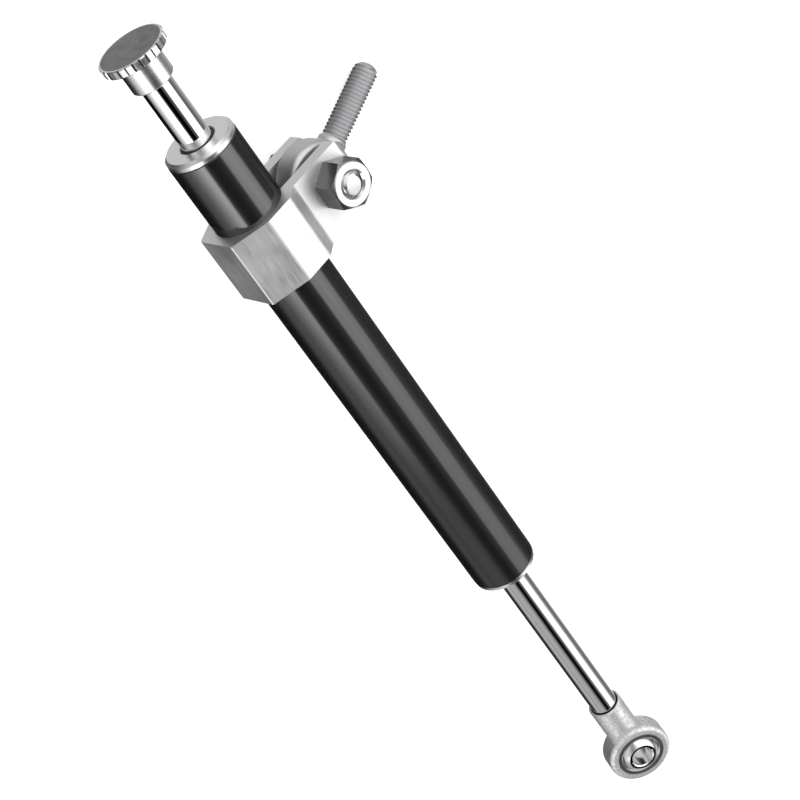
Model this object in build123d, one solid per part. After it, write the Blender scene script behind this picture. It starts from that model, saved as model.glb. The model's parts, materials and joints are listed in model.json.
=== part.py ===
from build123d import *
import math
import os

# Motorcycle steering damper with a through rod, millimetres.
# The origin is the centre of the rod-end ball. +X runs along the damper, from the rod end
# to the adjuster knob. +Z is the axis of the rod-end bore.

# Pose at rest: how the clamp is turned about the tube, and how the stud leans in the clamp
clamp_roll = 25.0
stud_lean = 18.8

# Main sizes
tube_od = 23.0
tube_per_rod_share = 2.3
tube_wall = 2.0
tube_length = 189.6
tube_chamfer = 0.4
travel_in = 77.6
travel_out = 20.9
stop_gap = 1.3

# Clearances
running_gap = 0.05
fit_gap = 0.03
face_gap = 0.1
overrun = 1.0

# Rod ends, both of one size: a ball with a bore for an 8 mm bolt
ball_d = 15.88
ball_face_wall = 1.2
ball_bore_chamfer = 0.4
race_wall = 1.0
race_width_share = 0.73
race_mouth_chamfer = 0.6
eye_wall = 2.98
eye_past_race = 0.12
head_edge_r = 1.8
head_proud = 1.2
neck_wall = 1.2
neck_length = 16.0
neck_flat_start = 1.0
neck_flat_length = 6.0
neck_end_chamfer = 0.5
neck_blend_r = 6.0
thread_d = 8.0
rod_thread_length = 13.0
thread_bottom_gap = 0.6
stud_length = 27.0
stud_neck_gap = 1.5
stud_neck_length = 0.8
stud_neck_taper = 0.8
stud_flat_length = 1.6
stud_blend_r = 2.0
stud_tip_r = 3.0

# End caps, in order from the outer face inwards
cap_lip = 2.2
cap_lip_inset = 0.15
cap_chamfer = 1.0
cap_mouth_length = 1.0
cap_mouth_wall = 0.8
cap_mouth_chamfer = 0.3
wiper_wall_share = 0.49
wiper_length = 3.0
cap_land = 2.0
cap_land_gap = 0.3
seal_wall_share = 0.67
seal_length = 5.0
seal_lip_depth = 1.8
seal_lip_gap_share = 0.34
cap_inner_land = 3.0
bush_wall = 1.0
bush_length = 15.0
ring_groove_from_bush_end = 6.0
cap_ring_share = 0.36

# Piston, its ring and its clips
piston_length = 12.0
piston_gap = 0.1
piston_edge = 0.5
piston_groove_share = 0.4
piston_ring_width = 4.0
bleed_hole_share = 0.54
bleed_hole_count = 4
clip_thickness = 1.0
clip_depth = 0.5
clip_wall = 1.6
clip_opening = 3.0

# Hollow rod and metering needle
rod_edge = 0.5
rod_bore_d = 4.4
seat_bore_d = 2.4
seat_from_piston = 3.0
port_d = 2.2
port_from_piston = 3.5
needle_d = 3.0
needle_tip_d = 0.8
needle_tip_length = 6.0
needle_tip_past_seat = 2.0
needle_guide_length = 7.0
needle_guide_from_port = 4.0
needle_ring_section = 0.8
needle_hex_length = 11.0
hex_socket_spare = 0.9
hex_gap = 0.1
needle_thread_d = 2.4
needle_thread_length = 8.0
needle_thread_spare = 1.5

# Adjuster collar, screw and knob
collar_wall = 1.8
collar_length = 9.0
collar_chamfer = 0.5
collar_top_wall = 1.8
screw_flange = 1.0
screw_flange_inset = 0.6
screw_stem_d = 4.0
click_count = 24
click_d = 0.9
click_depth = 0.3
click_from_rod = 0.6
knob_d = 21.2
knob_thickness = 2.8
knob_gap = 0.2
knob_edge = 0.3
knob_face_wall = 0.5
stem_face_wall = 1.2
flute_count = 28
flute_depth = 0.5
detent_ball_d = 1.2
detent_ball_proud = 0.12
detent_spring_wall = 0.3

# Clamp, a split block with two ears, measured from the axis of the tube
clamp_length = 23.5
clamp_from_tube_top = 25.2
clamp_back_wall = 3.2
clamp_back_half = 7.7
clamp_side_wall = 2.1
clamp_side_back = 3.0
clamp_side_front = 7.1
ear_thickness = 4.5
ear_past_bolt = 7.2
ear_corner_r = 1.0
clamp_edge = 0.3
eye_tube_gap = 0.5

# Clamp bolt and nut, M8 with the older 14 mm hexagon, set a little towards the tube's top
bolt_d = 8.0
bolt_hole_gap = 0.2
bolt_past_middle = 1.8
hex_across_flats = 14.0
bolt_head_height = 5.3
nut_height = 8.0
bolt_past_nut = 0.3
bolt_end_chamfer = 0.6
nut_countersink = 0.6
hex_corner_angle = 30.0

# Sizes that follow from those above
rod_d = tube_od / tube_per_rod_share
rod_r = rod_d / 2
tube_r = tube_od / 2
bore_r = tube_r - tube_wall
oil_room = bore_r - rod_r
seal_wall = seal_wall_share * oil_room
wiper_wall = wiper_wall_share * oil_room
cap_ring_section = cap_ring_share * oil_room
piston_groove_depth = piston_groove_share * oil_room
ball_r = ball_d / 2
ball_face_r = bolt_d / 2 + ball_face_wall
ball_width = 2 * math.sqrt(ball_r**2 - ball_face_r**2)
race_width = race_width_share * ball_width
neck_r = rod_r + neck_wall
seat_r = ball_r + running_gap
race_r = seat_r + race_wall
head_r = race_r + fit_gap + eye_wall
head_width = race_width + 2 * eye_past_race
neck_reach = head_r + neck_length
stud_neck_r = ball_width / 2 - stud_neck_gap
stud_neck_end = head_r + stud_neck_length
bottom_face = neck_reach + stop_gap + travel_in
tube_start = bottom_face + cap_lip
tube_end = tube_start + tube_length
top_face = tube_end + cap_lip
cap_length = (
    cap_mouth_length + wiper_length + cap_land + seal_length + cap_inner_land + bush_length
)
chamber_start = bottom_face + cap_length
chamber_end = top_face - cap_length
chamber_spare = chamber_end - chamber_start - piston_length - travel_in - travel_out
piston_start = chamber_start + chamber_spare / 2 + travel_out
piston_end = piston_start + piston_length
piston_middle = (piston_start + piston_end) / 2
collar_start = top_face + travel_out + stop_gap
collar_end = collar_start + collar_length
rod_end_x = collar_end - collar_top_wall - screw_flange - 2 * face_gap
needle_end = rod_end_x - face_gap - needle_thread_spare
hex_socket_start = needle_end - needle_hex_length - hex_socket_spare
seat_x = piston_start + seat_from_piston
lower_port_x = piston_start - port_from_piston
upper_port_x = piston_end + port_from_piston
knob_start = collar_end + knob_gap
knob_end = knob_start + knob_thickness
stem_end = knob_end - stem_face_wall
pocket_end = knob_end - knob_face_wall
clamp_centre = tube_end - clamp_from_tube_top - clamp_length / 2
bolt_offset = tube_r + eye_tube_gap + head_r
ear_tip = bolt_offset + ear_past_bolt
clamp_frame = Pos(clamp_centre, 0, 0) * Rot(clamp_roll, 0, 0)
bolt_frame = clamp_frame * Pos(bolt_past_middle, -bolt_offset, 0)
stud_frame = bolt_frame * Rot(0, 0, stud_lean)
ear_outer = ball_width / 2 + ear_thickness


def turned(points):
    """Solid turned about the damper's axis from (along, radius) points."""
    return revolve(make_face(Polyline(*points, close=True)), axis=Axis.X)


def turned_upright(points):
    """Solid turned about Z from (radius, height) points."""
    return revolve(Plane.XZ * make_face(Polyline(*points, close=True)), axis=Axis.Z)


def sleeve(start, end, inner, outer):
    """Plain ring along the damper's axis."""
    return turned([(start, inner), (end, inner), (end, outer), (start, outer)])


def rod_solid(start, end, radius):
    """Plain round bar along the damper's axis."""
    return sleeve(start, end, 0, radius)


def hex_bar(start, end, across_flats):
    """Hexagonal bar along the damper's axis."""
    outline = Plane.YZ * RegularPolygon(across_flats / 2, 6, major_radius=False)
    return Pos(start, 0, 0) * extrude(outline, amount=end - start)


def facing_down(solid):
    """The same solid turned end for end, so that a cap drawn for the bottom fits the top."""
    return Pos(bottom_face + top_face, 0, 0) * Rot(0, 0, 180) * solid


def damper_tube():
    return turned([
        (tube_start, bore_r),
        (tube_end, bore_r),
        (tube_end, tube_r - tube_chamfer),
        (tube_end - tube_chamfer, tube_r),
        (tube_start + tube_chamfer, tube_r),
        (tube_start, tube_r - tube_chamfer),
    ])


# Stations of the bottom cap, from its outer face inwards
wiper_start = bottom_face + cap_mouth_length
wiper_end = wiper_start + wiper_length
seal_start = wiper_end + cap_land
seal_end = seal_start + seal_length
bush_start = seal_end + cap_inner_land
cap_end = bush_start + bush_length
groove_middle = cap_end - ring_groove_from_bush_end
cap_plug_r = bore_r - fit_gap
cap_lip_r = tube_r - cap_lip_inset


def end_cap():
    """Screwed-in rod guide: a lip outside the tube, and seats for the wiper, seal and bush."""
    groove_half = cap_ring_section / 2 + fit_gap
    groove_r = cap_plug_r - cap_ring_section - fit_gap
    mouth_r = rod_r + cap_mouth_wall
    land_r = rod_r + cap_land_gap
    return turned([
        (bottom_face, mouth_r + cap_mouth_chamfer),
        (bottom_face + cap_mouth_chamfer, mouth_r),
        (wiper_start, mouth_r),
        (wiper_start, rod_r + wiper_wall + fit_gap),
        (wiper_end, rod_r + wiper_wall + fit_gap),
        (wiper_end, land_r),
        (seal_start, land_r),
        (seal_start, rod_r + seal_wall + fit_gap),
        (seal_end, rod_r + seal_wall + fit_gap),
        (seal_end, land_r),
        (bush_start, land_r),
        (bush_start, rod_r + bush_wall + running_gap + fit_gap),
        (cap_end, rod_r + bush_wall + running_gap + fit_gap),
        (cap_end, cap_plug_r),
        (groove_middle + groove_half, cap_plug_r),
        (groove_middle + groove_half, groove_r),
        (groove_middle - groove_half, groove_r),
        (groove_middle - groove_half, cap_plug_r),
        (tube_start, cap_plug_r),
        (tube_start, cap_lip_r),
        (bottom_face + cap_chamfer, cap_lip_r),
        (bottom_face, cap_lip_r - cap_chamfer),
    ])


def rod_bush():
    """Plain bearing bush that guides the rod."""
    return sleeve(bush_start, cap_end, rod_r + running_gap, rod_r + running_gap + bush_wall)


def rod_seal():
    """Lip seal, with its open groove facing the oil."""
    inner = rod_r + running_gap
    outer = rod_r + seal_wall
    middle = (inner + outer) / 2
    lip_gap = seal_lip_gap_share * (outer - inner)
    return turned([
        (seal_start + fit_gap, inner),
        (seal_end - fit_gap, inner),
        (seal_end - fit_gap, middle - lip_gap / 2),
        (seal_end - seal_lip_depth, middle),
        (seal_end - fit_gap, middle + lip_gap / 2),
        (seal_end - fit_gap, outer),
        (seal_start + fit_gap, outer),
    ])


def rod_wiper():
    """Dust wiper, whose lip stands in the mouth of the cap round the rod."""
    inner = rod_r + running_gap
    lip_outer = rod_r + cap_mouth_wall - fit_gap
    return turned([
        (bottom_face + cap_mouth_chamfer, inner),
        (wiper_end - fit_gap, inner),
        (wiper_end - fit_gap, rod_r + wiper_wall),
        (wiper_start + fit_gap, rod_r + wiper_wall),
        (wiper_start + fit_gap, lip_outer),
        (bottom_face + cap_mouth_length / 2, lip_outer),
    ])


def rubber_ring(middle, outer, section):
    """O-ring of round section, centred at a station on the damper's axis."""
    ring_path_r = outer - section / 2
    outline = Pos(middle, ring_path_r) * Circle(section / 2)
    return revolve(outline, axis=Axis.X)


def piston():
    """Piston with a groove for its ring and a circle of bleed holes."""
    inner = rod_r + fit_gap
    outer = bore_r - piston_gap
    groove_r = outer - piston_groove_depth
    groove_half = piston_ring_width / 2 + running_gap
    body = turned([
        (piston_start, inner),
        (piston_end, inner),
        (piston_end, outer - piston_edge),
        (piston_end - piston_edge, outer),
        (piston_middle + groove_half, outer),
        (piston_middle + groove_half, groove_r),
        (piston_middle - groove_half, groove_r),
        (piston_middle - groove_half, outer),
        (piston_start + piston_edge, outer),
        (piston_start, outer - piston_edge),
    ])
    hole_r = bleed_hole_share * (groove_r - inner) / 2
    hole = Plane.YZ * Pos((inner + groove_r) / 2, 0) * Circle(hole_r)
    drill = Pos(piston_start - overrun, 0, 0) * extrude(hole, amount=piston_length + 2 * overrun)
    for step in range(bleed_hole_count):
        body -= Rot(360 * step / bleed_hole_count, 0, 0) * drill
    return body


def piston_ring():
    """Low-friction ring that seals the piston against the tube."""
    groove_r = bore_r - piston_gap - piston_groove_depth
    half = piston_ring_width / 2
    return sleeve(
        piston_middle - half, piston_middle + half, groove_r + running_gap, bore_r - running_gap
    )


def piston_clips():
    """Pair of open retaining rings, one on each side of the piston."""
    inner = rod_r - clip_depth + fit_gap
    clips = []
    for start in (piston_start - clip_thickness, piston_end):
        ring = sleeve(start, start + clip_thickness, inner, rod_r + clip_wall)
        opening = Box(clip_thickness + 2 * overrun, clip_opening, rod_r + clip_wall + overrun)
        opening_place = Pos(start + clip_thickness / 2, 0, (rod_r + clip_wall + overrun) / 2)
        clips.append(ring - opening_place * opening)
    return Compound(children=clips)


def piston_rod():
    """Hollow through rod: threaded foot, clip grooves, metering ports and a hexagonal socket."""
    foot_r = thread_d / 2 - fit_gap
    foot_start = neck_reach - rod_thread_length
    groove_r = rod_r - clip_depth
    outer = turned([
        (foot_start, 0),
        (rod_end_x, 0),
        (rod_end_x, rod_r - rod_edge),
        (rod_end_x - rod_edge, rod_r),
        (piston_end + clip_thickness, rod_r),
        (piston_end + clip_thickness, groove_r),
        (piston_end, groove_r),
        (piston_end, rod_r),
        (piston_start, rod_r),
        (piston_start, groove_r),
        (piston_start - clip_thickness, groove_r),
        (piston_start - clip_thickness, rod_r),
        (neck_reach + rod_edge, rod_r),
        (neck_reach, rod_r - rod_edge),
        (neck_reach, foot_r),
        (foot_start + rod_edge, foot_r),
        (foot_start, foot_r - rod_edge),
    ])
    body = outer - rod_solid(seat_x, rod_end_x + overrun, rod_bore_d / 2)
    body -= rod_solid(lower_port_x - port_d, seat_x + overrun, seat_bore_d / 2)
    body -= hex_bar(hex_socket_start, rod_end_x + overrun, rod_bore_d)
    for station in (lower_port_x, upper_port_x):
        body -= Pos(station, 0, 0) * Cylinder(port_d / 2, rod_d + 2 * overrun)
    return body


def metering_needle():
    """Tapered needle that slides in the rod; its hexagonal head stops it from turning."""
    hex_start = needle_end - needle_hex_length
    guide_r = rod_bore_d / 2 - running_gap
    guide_start = upper_port_x + needle_guide_from_port
    guide_end = guide_start + needle_guide_length
    guide_middle = (guide_start + guide_end) / 2
    groove_half = needle_ring_section / 2 + fit_gap
    tip_start = seat_x - needle_tip_past_seat
    shank_r = needle_d / 2
    groove_r = rod_bore_d / 2 - needle_ring_section - 2 * fit_gap
    body = turned([
        (tip_start, 0),
        (hex_start + overrun, 0),
        (hex_start + overrun, shank_r),
        (guide_end, shank_r),
        (guide_end, guide_r),
        (guide_middle + groove_half, guide_r),
        (guide_middle + groove_half, groove_r),
        (guide_middle - groove_half, groove_r),
        (guide_middle - groove_half, guide_r),
        (guide_start, guide_r),
        (guide_start, shank_r),
        (tip_start + needle_tip_length, shank_r),
        (tip_start, needle_tip_d / 2),
    ])
    body += hex_bar(hex_start, needle_end, rod_bore_d - 2 * hex_gap)
    hole_depth = needle_thread_length + needle_thread_spare
    return body - rod_solid(
        needle_end - hole_depth, needle_end + overrun, needle_thread_d / 2 + running_gap
    )


def needle_o_ring():
    guide_start = upper_port_x + needle_guide_from_port
    return rubber_ring(
        guide_start + needle_guide_length / 2, rod_bore_d / 2 - fit_gap, needle_ring_section
    )


def eye_head(neck_outer, neck_end, flat_length, blend_r):
    """Ring of a rod end in the XY plane, with a round neck along +X, flattened at the ring."""
    ring = Cylinder(head_r, head_width)
    ring = fillet(ring.edges().filter_by(GeomType.CIRCLE), head_edge_r)
    core_r = head_r - head_proud / 2
    outline = Circle(core_r) + Pos(neck_end / 2, 0) * Rectangle(neck_end, 2 * neck_outer)
    corners = [
        point for point in outline.vertices()
        if 0 < point.X < neck_end - face_gap and abs(point.Y) > face_gap
    ]
    outline = fillet(corners, blend_r) & Pos(neck_end / 2, core_r) * Rectangle(neck_end, 2 * core_r)
    neck = revolve(outline, axis=Axis.X)
    web_half = head_width / 2 - head_proud
    flat_start = head_r - neck_flat_start
    flat_end = flat_start + flat_length
    upper = [
        (0, web_half),
        (flat_start, web_half),
        (flat_end, neck_outer),
        (neck_end + overrun, neck_outer),
    ]
    lower = [(x, -z) for x, z in reversed(upper)]
    side_view = Plane.XZ * make_face(Polyline(*upper, *lower, close=True))
    return ring + (neck & extrude(side_view, amount=head_r, both=True))


def race_pocket():
    """Space in the head for the race."""
    return Cylinder(race_r + fit_gap, head_width + 2 * overrun)


def rod_end_housing():
    """Female rod end: a flat eye that grows into a round neck with a threaded socket."""
    neck_start = head_r + neck_flat_length
    neck = turned([
        (neck_start, 0),
        (neck_reach, 0),
        (neck_reach, neck_r - neck_end_chamfer),
        (neck_reach - neck_end_chamfer, neck_r),
        (neck_start, neck_r),
    ])
    body = eye_head(neck_r, neck_start, neck_flat_length, neck_blend_r) + neck
    socket_bottom = neck_reach - rod_thread_length - thread_bottom_gap
    body -= rod_solid(socket_bottom, neck_reach + overrun, thread_d / 2)
    return body - race_pocket()


def stud_end_housing():
    """Male rod end: the same eye with a solid stud, drawn along +X and laid in the clamp."""
    stud_r = thread_d / 2
    stud_end = head_r + stud_length
    stud = turned([
        (head_r, 0),
        (stud_end, 0),
        (stud_end, stud_r),
        (stud_neck_end + stud_neck_taper, stud_r),
        (stud_neck_end, stud_neck_r),
        (head_r, stud_r),
    ])
    stud = fillet(stud.faces().sort_by(Axis.X)[-1].edges(), stud_tip_r)
    eye = eye_head(stud_neck_r, stud_neck_end, stud_flat_length, stud_blend_r)
    return stud_frame * Rot(0, 0, -90) * (eye + stud - race_pocket())


def race():
    """Ring in the eye whose inner face is the ball's spherical seat, chamfered at both mouths."""
    half = race_width / 2
    mouth_z = half - race_mouth_chamfer
    mouth_r = math.sqrt(seat_r**2 - mouth_z**2)
    ring = turned_upright([
        (0, -mouth_z),
        (mouth_r, -mouth_z),
        (mouth_r + race_mouth_chamfer, -half),
        (race_r, -half),
        (race_r, half),
        (mouth_r + race_mouth_chamfer, half),
        (mouth_r, mouth_z),
        (0, mouth_z),
    ])
    return ring - Sphere(seat_r)


def ball():
    """Ball of a rod end, cut flat at both sides and bored for the bolt."""
    half = ball_width / 2
    hole_r = bolt_d / 2
    limits = Cylinder(ball_r, ball_width)
    hole = turned_upright([
        (0, -half - overrun),
        (hole_r + ball_bore_chamfer + overrun, -half - overrun),
        (hole_r + ball_bore_chamfer, -half),
        (hole_r, -half + ball_bore_chamfer),
        (hole_r, half - ball_bore_chamfer),
        (hole_r + ball_bore_chamfer, half),
        (hole_r + ball_bore_chamfer + overrun, half + overrun),
        (0, half + overrun),
    ])
    return Sphere(ball_r) & limits - hole


def adjuster_collar():
    """Collar screwed on the rod; its top wall traps the adjuster screw and has click dimples."""
    outer = rod_r + collar_wall
    hole_r = screw_stem_d / 2 + running_gap
    body = turned([
        (collar_start, rod_r + fit_gap),
        (collar_end - collar_top_wall, rod_r + fit_gap),
        (collar_end - collar_top_wall, hole_r),
        (collar_end, hole_r),
        (collar_end, outer - collar_chamfer),
        (collar_end - collar_chamfer, outer),
        (collar_start + collar_chamfer, outer),
        (collar_start, outer - collar_chamfer),
    ])
    dimple = turned([
        (collar_end - click_depth, 0),
        (collar_end + overrun, 0),
        (collar_end + overrun, click_d / 2),
        (collar_end, click_d / 2),
    ])
    for step in range(click_count):
        place = Rot(360 * step / click_count, 0, 0) * Pos(0, rod_r + click_from_rod, 0)
        body -= place * dimple
    return body


def adjuster_screw():
    """Screw that the knob turns: a thread in the needle, a trapped flange and a stem."""
    flange_start = rod_end_x + face_gap
    flange_end = flange_start + screw_flange
    return turned([
        (rod_end_x - needle_thread_length - face_gap, 0),
        (stem_end, 0),
        (stem_end, screw_stem_d / 2),
        (flange_end, screw_stem_d / 2),
        (flange_end, rod_r - screw_flange_inset),
        (flange_start, rod_r - screw_flange_inset),
        (flange_start, needle_thread_d / 2),
        (rod_end_x - needle_thread_length - face_gap, needle_thread_d / 2),
    ])


detent_r = rod_r + click_from_rod
pocket_r = detent_ball_d / 2 + running_gap


def adjuster_knob():
    """Round knob with a fluted rim, a socket for the screw and a pocket for the detent."""
    rim_r = knob_d / 2
    body = turned([
        (knob_start, screw_stem_d / 2 + fit_gap),
        (stem_end + face_gap, screw_stem_d / 2 + fit_gap),
        (stem_end + face_gap, 0),
        (knob_end, 0),
        (knob_end, rim_r - knob_edge),
        (knob_end - knob_edge, rim_r),
        (knob_start + knob_edge, rim_r),
        (knob_start, rim_r - knob_edge),
    ])
    flute_side = flute_depth * math.sqrt(2)
    flute = Rot(45, 0, 0) * Box(knob_thickness + 2 * overrun, flute_side, flute_side)
    flute = Pos((knob_start + knob_end) / 2, rim_r, 0) * flute
    for step in range(flute_count):
        body -= Rot(360 * step / flute_count, 0, 0) * flute
    pocket = rod_solid(knob_start - overrun, pocket_end, pocket_r)
    return body - Pos(0, detent_r, 0) * pocket


def detent_ball():
    centre = knob_start - detent_ball_proud + detent_ball_d / 2
    return Pos(centre, detent_r, 0) * Sphere(detent_ball_d / 2)


def detent_spring():
    """Closed coil spring behind the ball, drawn as a sleeve."""
    ball_back = knob_start - detent_ball_proud + detent_ball_d
    spring_r = detent_ball_d / 2
    spring = sleeve(
        ball_back, pocket_end, spring_r - detent_spring_wall, spring_r
    )
    return Pos(0, detent_r, 0) * spring


def clamp_body():
    """Split block with a slant-sided back and two ears, bored for the tube and the bolt."""
    clamp_side = tube_r + clamp_side_wall
    half_outline = [
        (tube_r + clamp_back_wall, clamp_back_half),
        (clamp_side_back, clamp_side),
        (-clamp_side_front, clamp_side),
        (-tube_r, ear_outer),
        (-ear_tip, ear_outer),
    ]
    mirrored = [(y, -z) for y, z in reversed(half_outline)]
    outline = Plane.YZ * make_face(Polyline(*half_outline, *mirrored, close=True))
    block = Pos(-clamp_length / 2, 0, 0) * extrude(outline, amount=clamp_length)
    block = chamfer(block.edges().filter_by(Axis.X), clamp_edge)
    tip_corners = block.edges().filter_by(Axis.Z).group_by(Axis.Y)[0]
    block = fillet(tip_corners, ear_corner_r)
    block -= rod_solid(-clamp_length, clamp_length, tube_r + running_gap)
    slot_depth = ear_tip + overrun
    block -= Pos(0, -slot_depth / 2, 0) * Box(clamp_length + 2 * overrun, slot_depth, ball_width)
    bolt_hole = Cylinder(bolt_d / 2 + bolt_hole_gap, 2 * ear_outer + 2 * overrun)
    block -= Pos(bolt_past_middle, -bolt_offset, 0) * bolt_hole
    return clamp_frame * block


def hex_with_rounded_corners(bottom, top, chamfer_bottom, chamfer_top):
    """Hexagon for a spanner, whose corners are turned off at one or both faces."""
    corner_r = hex_across_flats / math.sqrt(3)
    flat_r = hex_across_flats / 2
    drop = (corner_r - flat_r) * math.tan(math.radians(hex_corner_angle))
    lower = flat_r if chamfer_bottom else corner_r
    upper = flat_r if chamfer_top else corner_r
    points = [(0, bottom), (lower, bottom)]
    if chamfer_bottom:
        points.append((corner_r, bottom + drop))
    if chamfer_top:
        points.append((corner_r, top - drop))
    points += [(upper, top), (0, top)]
    outline = RegularPolygon(flat_r, 6, major_radius=False)
    prism = Pos(0, 0, bottom) * extrude(outline, amount=top - bottom)
    return prism & turned_upright(points)


def clamp_bolt():
    """Hexagon bolt through both ears and the ball of the stud end."""
    shank_r = bolt_d / 2 - running_gap
    shank_end = ear_outer + nut_height + bolt_past_nut
    head = hex_with_rounded_corners(-ear_outer - bolt_head_height, -ear_outer, True, False)
    shank = turned_upright([
        (0, -ear_outer - face_gap),
        (shank_r, -ear_outer - face_gap),
        (shank_r, shank_end - bolt_end_chamfer),
        (shank_r - bolt_end_chamfer, shank_end),
        (0, shank_end),
    ])
    return bolt_frame * (head + shank)


def clamp_nut():
    """Hexagon nut on the outer face of the ear that faces up."""
    body = hex_with_rounded_corners(ear_outer, ear_outer + nut_height, False, True)
    hole_r = bolt_d / 2
    top = ear_outer + nut_height
    hole = turned_upright([
        (0, ear_outer - overrun),
        (hole_r, ear_outer - overrun),
        (hole_r, top - nut_countersink),
        (hole_r + nut_countersink + overrun, top + overrun),
        (0, top + overrun),
    ])
    return bolt_frame * (body - hole)


def stud_end_race():
    return stud_frame * race()


def stud_end_ball():
    return bolt_frame * ball()


pieces = {
    "damper_tube": damper_tube(),
    "bottom_end_cap": end_cap(),
    "top_end_cap": facing_down(end_cap()),
    "bottom_rod_bush": rod_bush(),
    "top_rod_bush": facing_down(rod_bush()),
    "bottom_rod_seal": rod_seal(),
    "top_rod_seal": facing_down(rod_seal()),
    "bottom_wiper": rod_wiper(),
    "top_wiper": facing_down(rod_wiper()),
    "bottom_cap_o_ring": rubber_ring(groove_middle, bore_r - fit_gap, cap_ring_section),
    "top_cap_o_ring": facing_down(
        rubber_ring(groove_middle, bore_r - fit_gap, cap_ring_section)
    ),
    "piston_ring": piston_ring(),
    "piston": piston(),
    "piston_clips": piston_clips(),
    "piston_rod": piston_rod(),
    "metering_needle": metering_needle(),
    "needle_o_ring": needle_o_ring(),
    "rod_end_housing": rod_end_housing(),
    "rod_end_race": race(),
    "rod_end_ball": ball(),
    "adjuster_collar": adjuster_collar(),
    "adjuster_screw": adjuster_screw(),
    "adjuster_knob": adjuster_knob(),
    "detent_ball": detent_ball(),
    "detent_spring": detent_spring(),
    "clamp_body": clamp_body(),
    "clamp_bolt": clamp_bolt(),
    "clamp_nut": clamp_nut(),
    "stud_end_ball": stud_end_ball(),
    "stud_end_housing": stud_end_housing(),
    "stud_end_race": stud_end_race(),
}

os.makedirs("parts", exist_ok=True)
for name, solid in pieces.items():
    export_step(solid, f"parts/{name}.step")
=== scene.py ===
import json
import math

import bmesh
import bpy
from mathutils import Matrix, Vector


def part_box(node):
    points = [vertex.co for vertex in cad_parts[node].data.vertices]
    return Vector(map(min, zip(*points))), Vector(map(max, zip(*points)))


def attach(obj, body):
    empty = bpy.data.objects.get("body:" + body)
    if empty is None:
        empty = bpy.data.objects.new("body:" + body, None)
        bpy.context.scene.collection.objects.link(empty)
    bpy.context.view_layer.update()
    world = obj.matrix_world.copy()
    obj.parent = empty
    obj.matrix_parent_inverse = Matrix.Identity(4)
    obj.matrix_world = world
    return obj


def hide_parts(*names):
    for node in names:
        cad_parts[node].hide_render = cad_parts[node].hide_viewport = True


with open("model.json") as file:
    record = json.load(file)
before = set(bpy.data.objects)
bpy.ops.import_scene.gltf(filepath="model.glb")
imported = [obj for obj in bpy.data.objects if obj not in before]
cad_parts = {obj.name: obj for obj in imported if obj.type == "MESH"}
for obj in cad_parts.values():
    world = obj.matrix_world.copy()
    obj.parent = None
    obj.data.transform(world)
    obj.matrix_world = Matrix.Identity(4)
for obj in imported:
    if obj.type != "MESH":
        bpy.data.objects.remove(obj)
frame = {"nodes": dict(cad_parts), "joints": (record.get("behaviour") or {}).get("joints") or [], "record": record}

# Looks of a slim through-rod steering damper, laid out as a Blender add-on.
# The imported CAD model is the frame: origin in the rod-end ball, +X along the damper
# towards the adjuster knob, +Z along the rod-end bore.

bl_info = {
    "name": "Steering damper looks",
    "version": (1, 0, 0),
    "blender": (4, 5, 0),
    "location": "3D View > Sidebar > Damper",
    "description": "Threads, springs, finishes, studio and camera of a steering damper",
    "category": "Object",
}

MM = 0.001
NODES = frame["nodes"]
RECORD = frame["record"]


# Places read from the frame

def joint(name):
    return next(j for j in frame["joints"] if j["name"] == name)


def low_high(node):
    low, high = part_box(node)
    return Vector(low), Vector(high)


EYE_HIGH = low_high("rod_end_housing")[1]
ROD_LOW, ROD_HIGH = low_high("piston_rod")
KNOB_LOW, KNOB_HIGH = low_high("adjuster_knob")
SPRING_LOW, SPRING_HIGH = low_high("detent_spring")
STUD_PIVOT = Vector(joint("stud_swing")["pos_m"])
BOLT_AXIS = Vector(joint("stud_swing")["axis"]).normalized()
STUD_MOUNT = next(m for m in RECORD["mounts"] if m["name"] != "rod_end_bore")
STUD_AXIS = Vector(STUD_MOUNT["axis"]).normalized()
THREAD_R = STUD_MOUNT["dims"]["r_mm"] * MM


# Settings that a user would change

class StudioSettings(bpy.types.PropertyGroup):
    lens: bpy.props.FloatProperty(
        name="Lens", description="Focal length on a 36 mm sensor", default=90.83, unit="CAMERA")
    camera_place: bpy.props.FloatVectorProperty(
        name="Camera place", description="Where the camera stands", subtype="XYZ",
        default=(0.5473, -0.0039, 0.5274))
    camera_right: bpy.props.FloatVectorProperty(
        name="Picture's right", description="Direction that points right in the picture",
        subtype="DIRECTION", default=(-0.48145, -0.81255, 0.32860))
    camera_up: bpy.props.FloatVectorProperty(
        name="Picture's up", description="Direction that points up in the picture",
        subtype="DIRECTION", default=(0.67113, -0.58290, -0.45806))
    floor_colour: bpy.props.FloatVectorProperty(
        name="Floor colour", description="Colour of the plain floor", subtype="COLOR",
        default=(0.93, 0.93, 0.93))
    lamp_power: bpy.props.FloatProperty(
        name="Soft box power", description="Power of the soft box that casts the shadow",
        default=3.0, unit="POWER")


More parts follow.
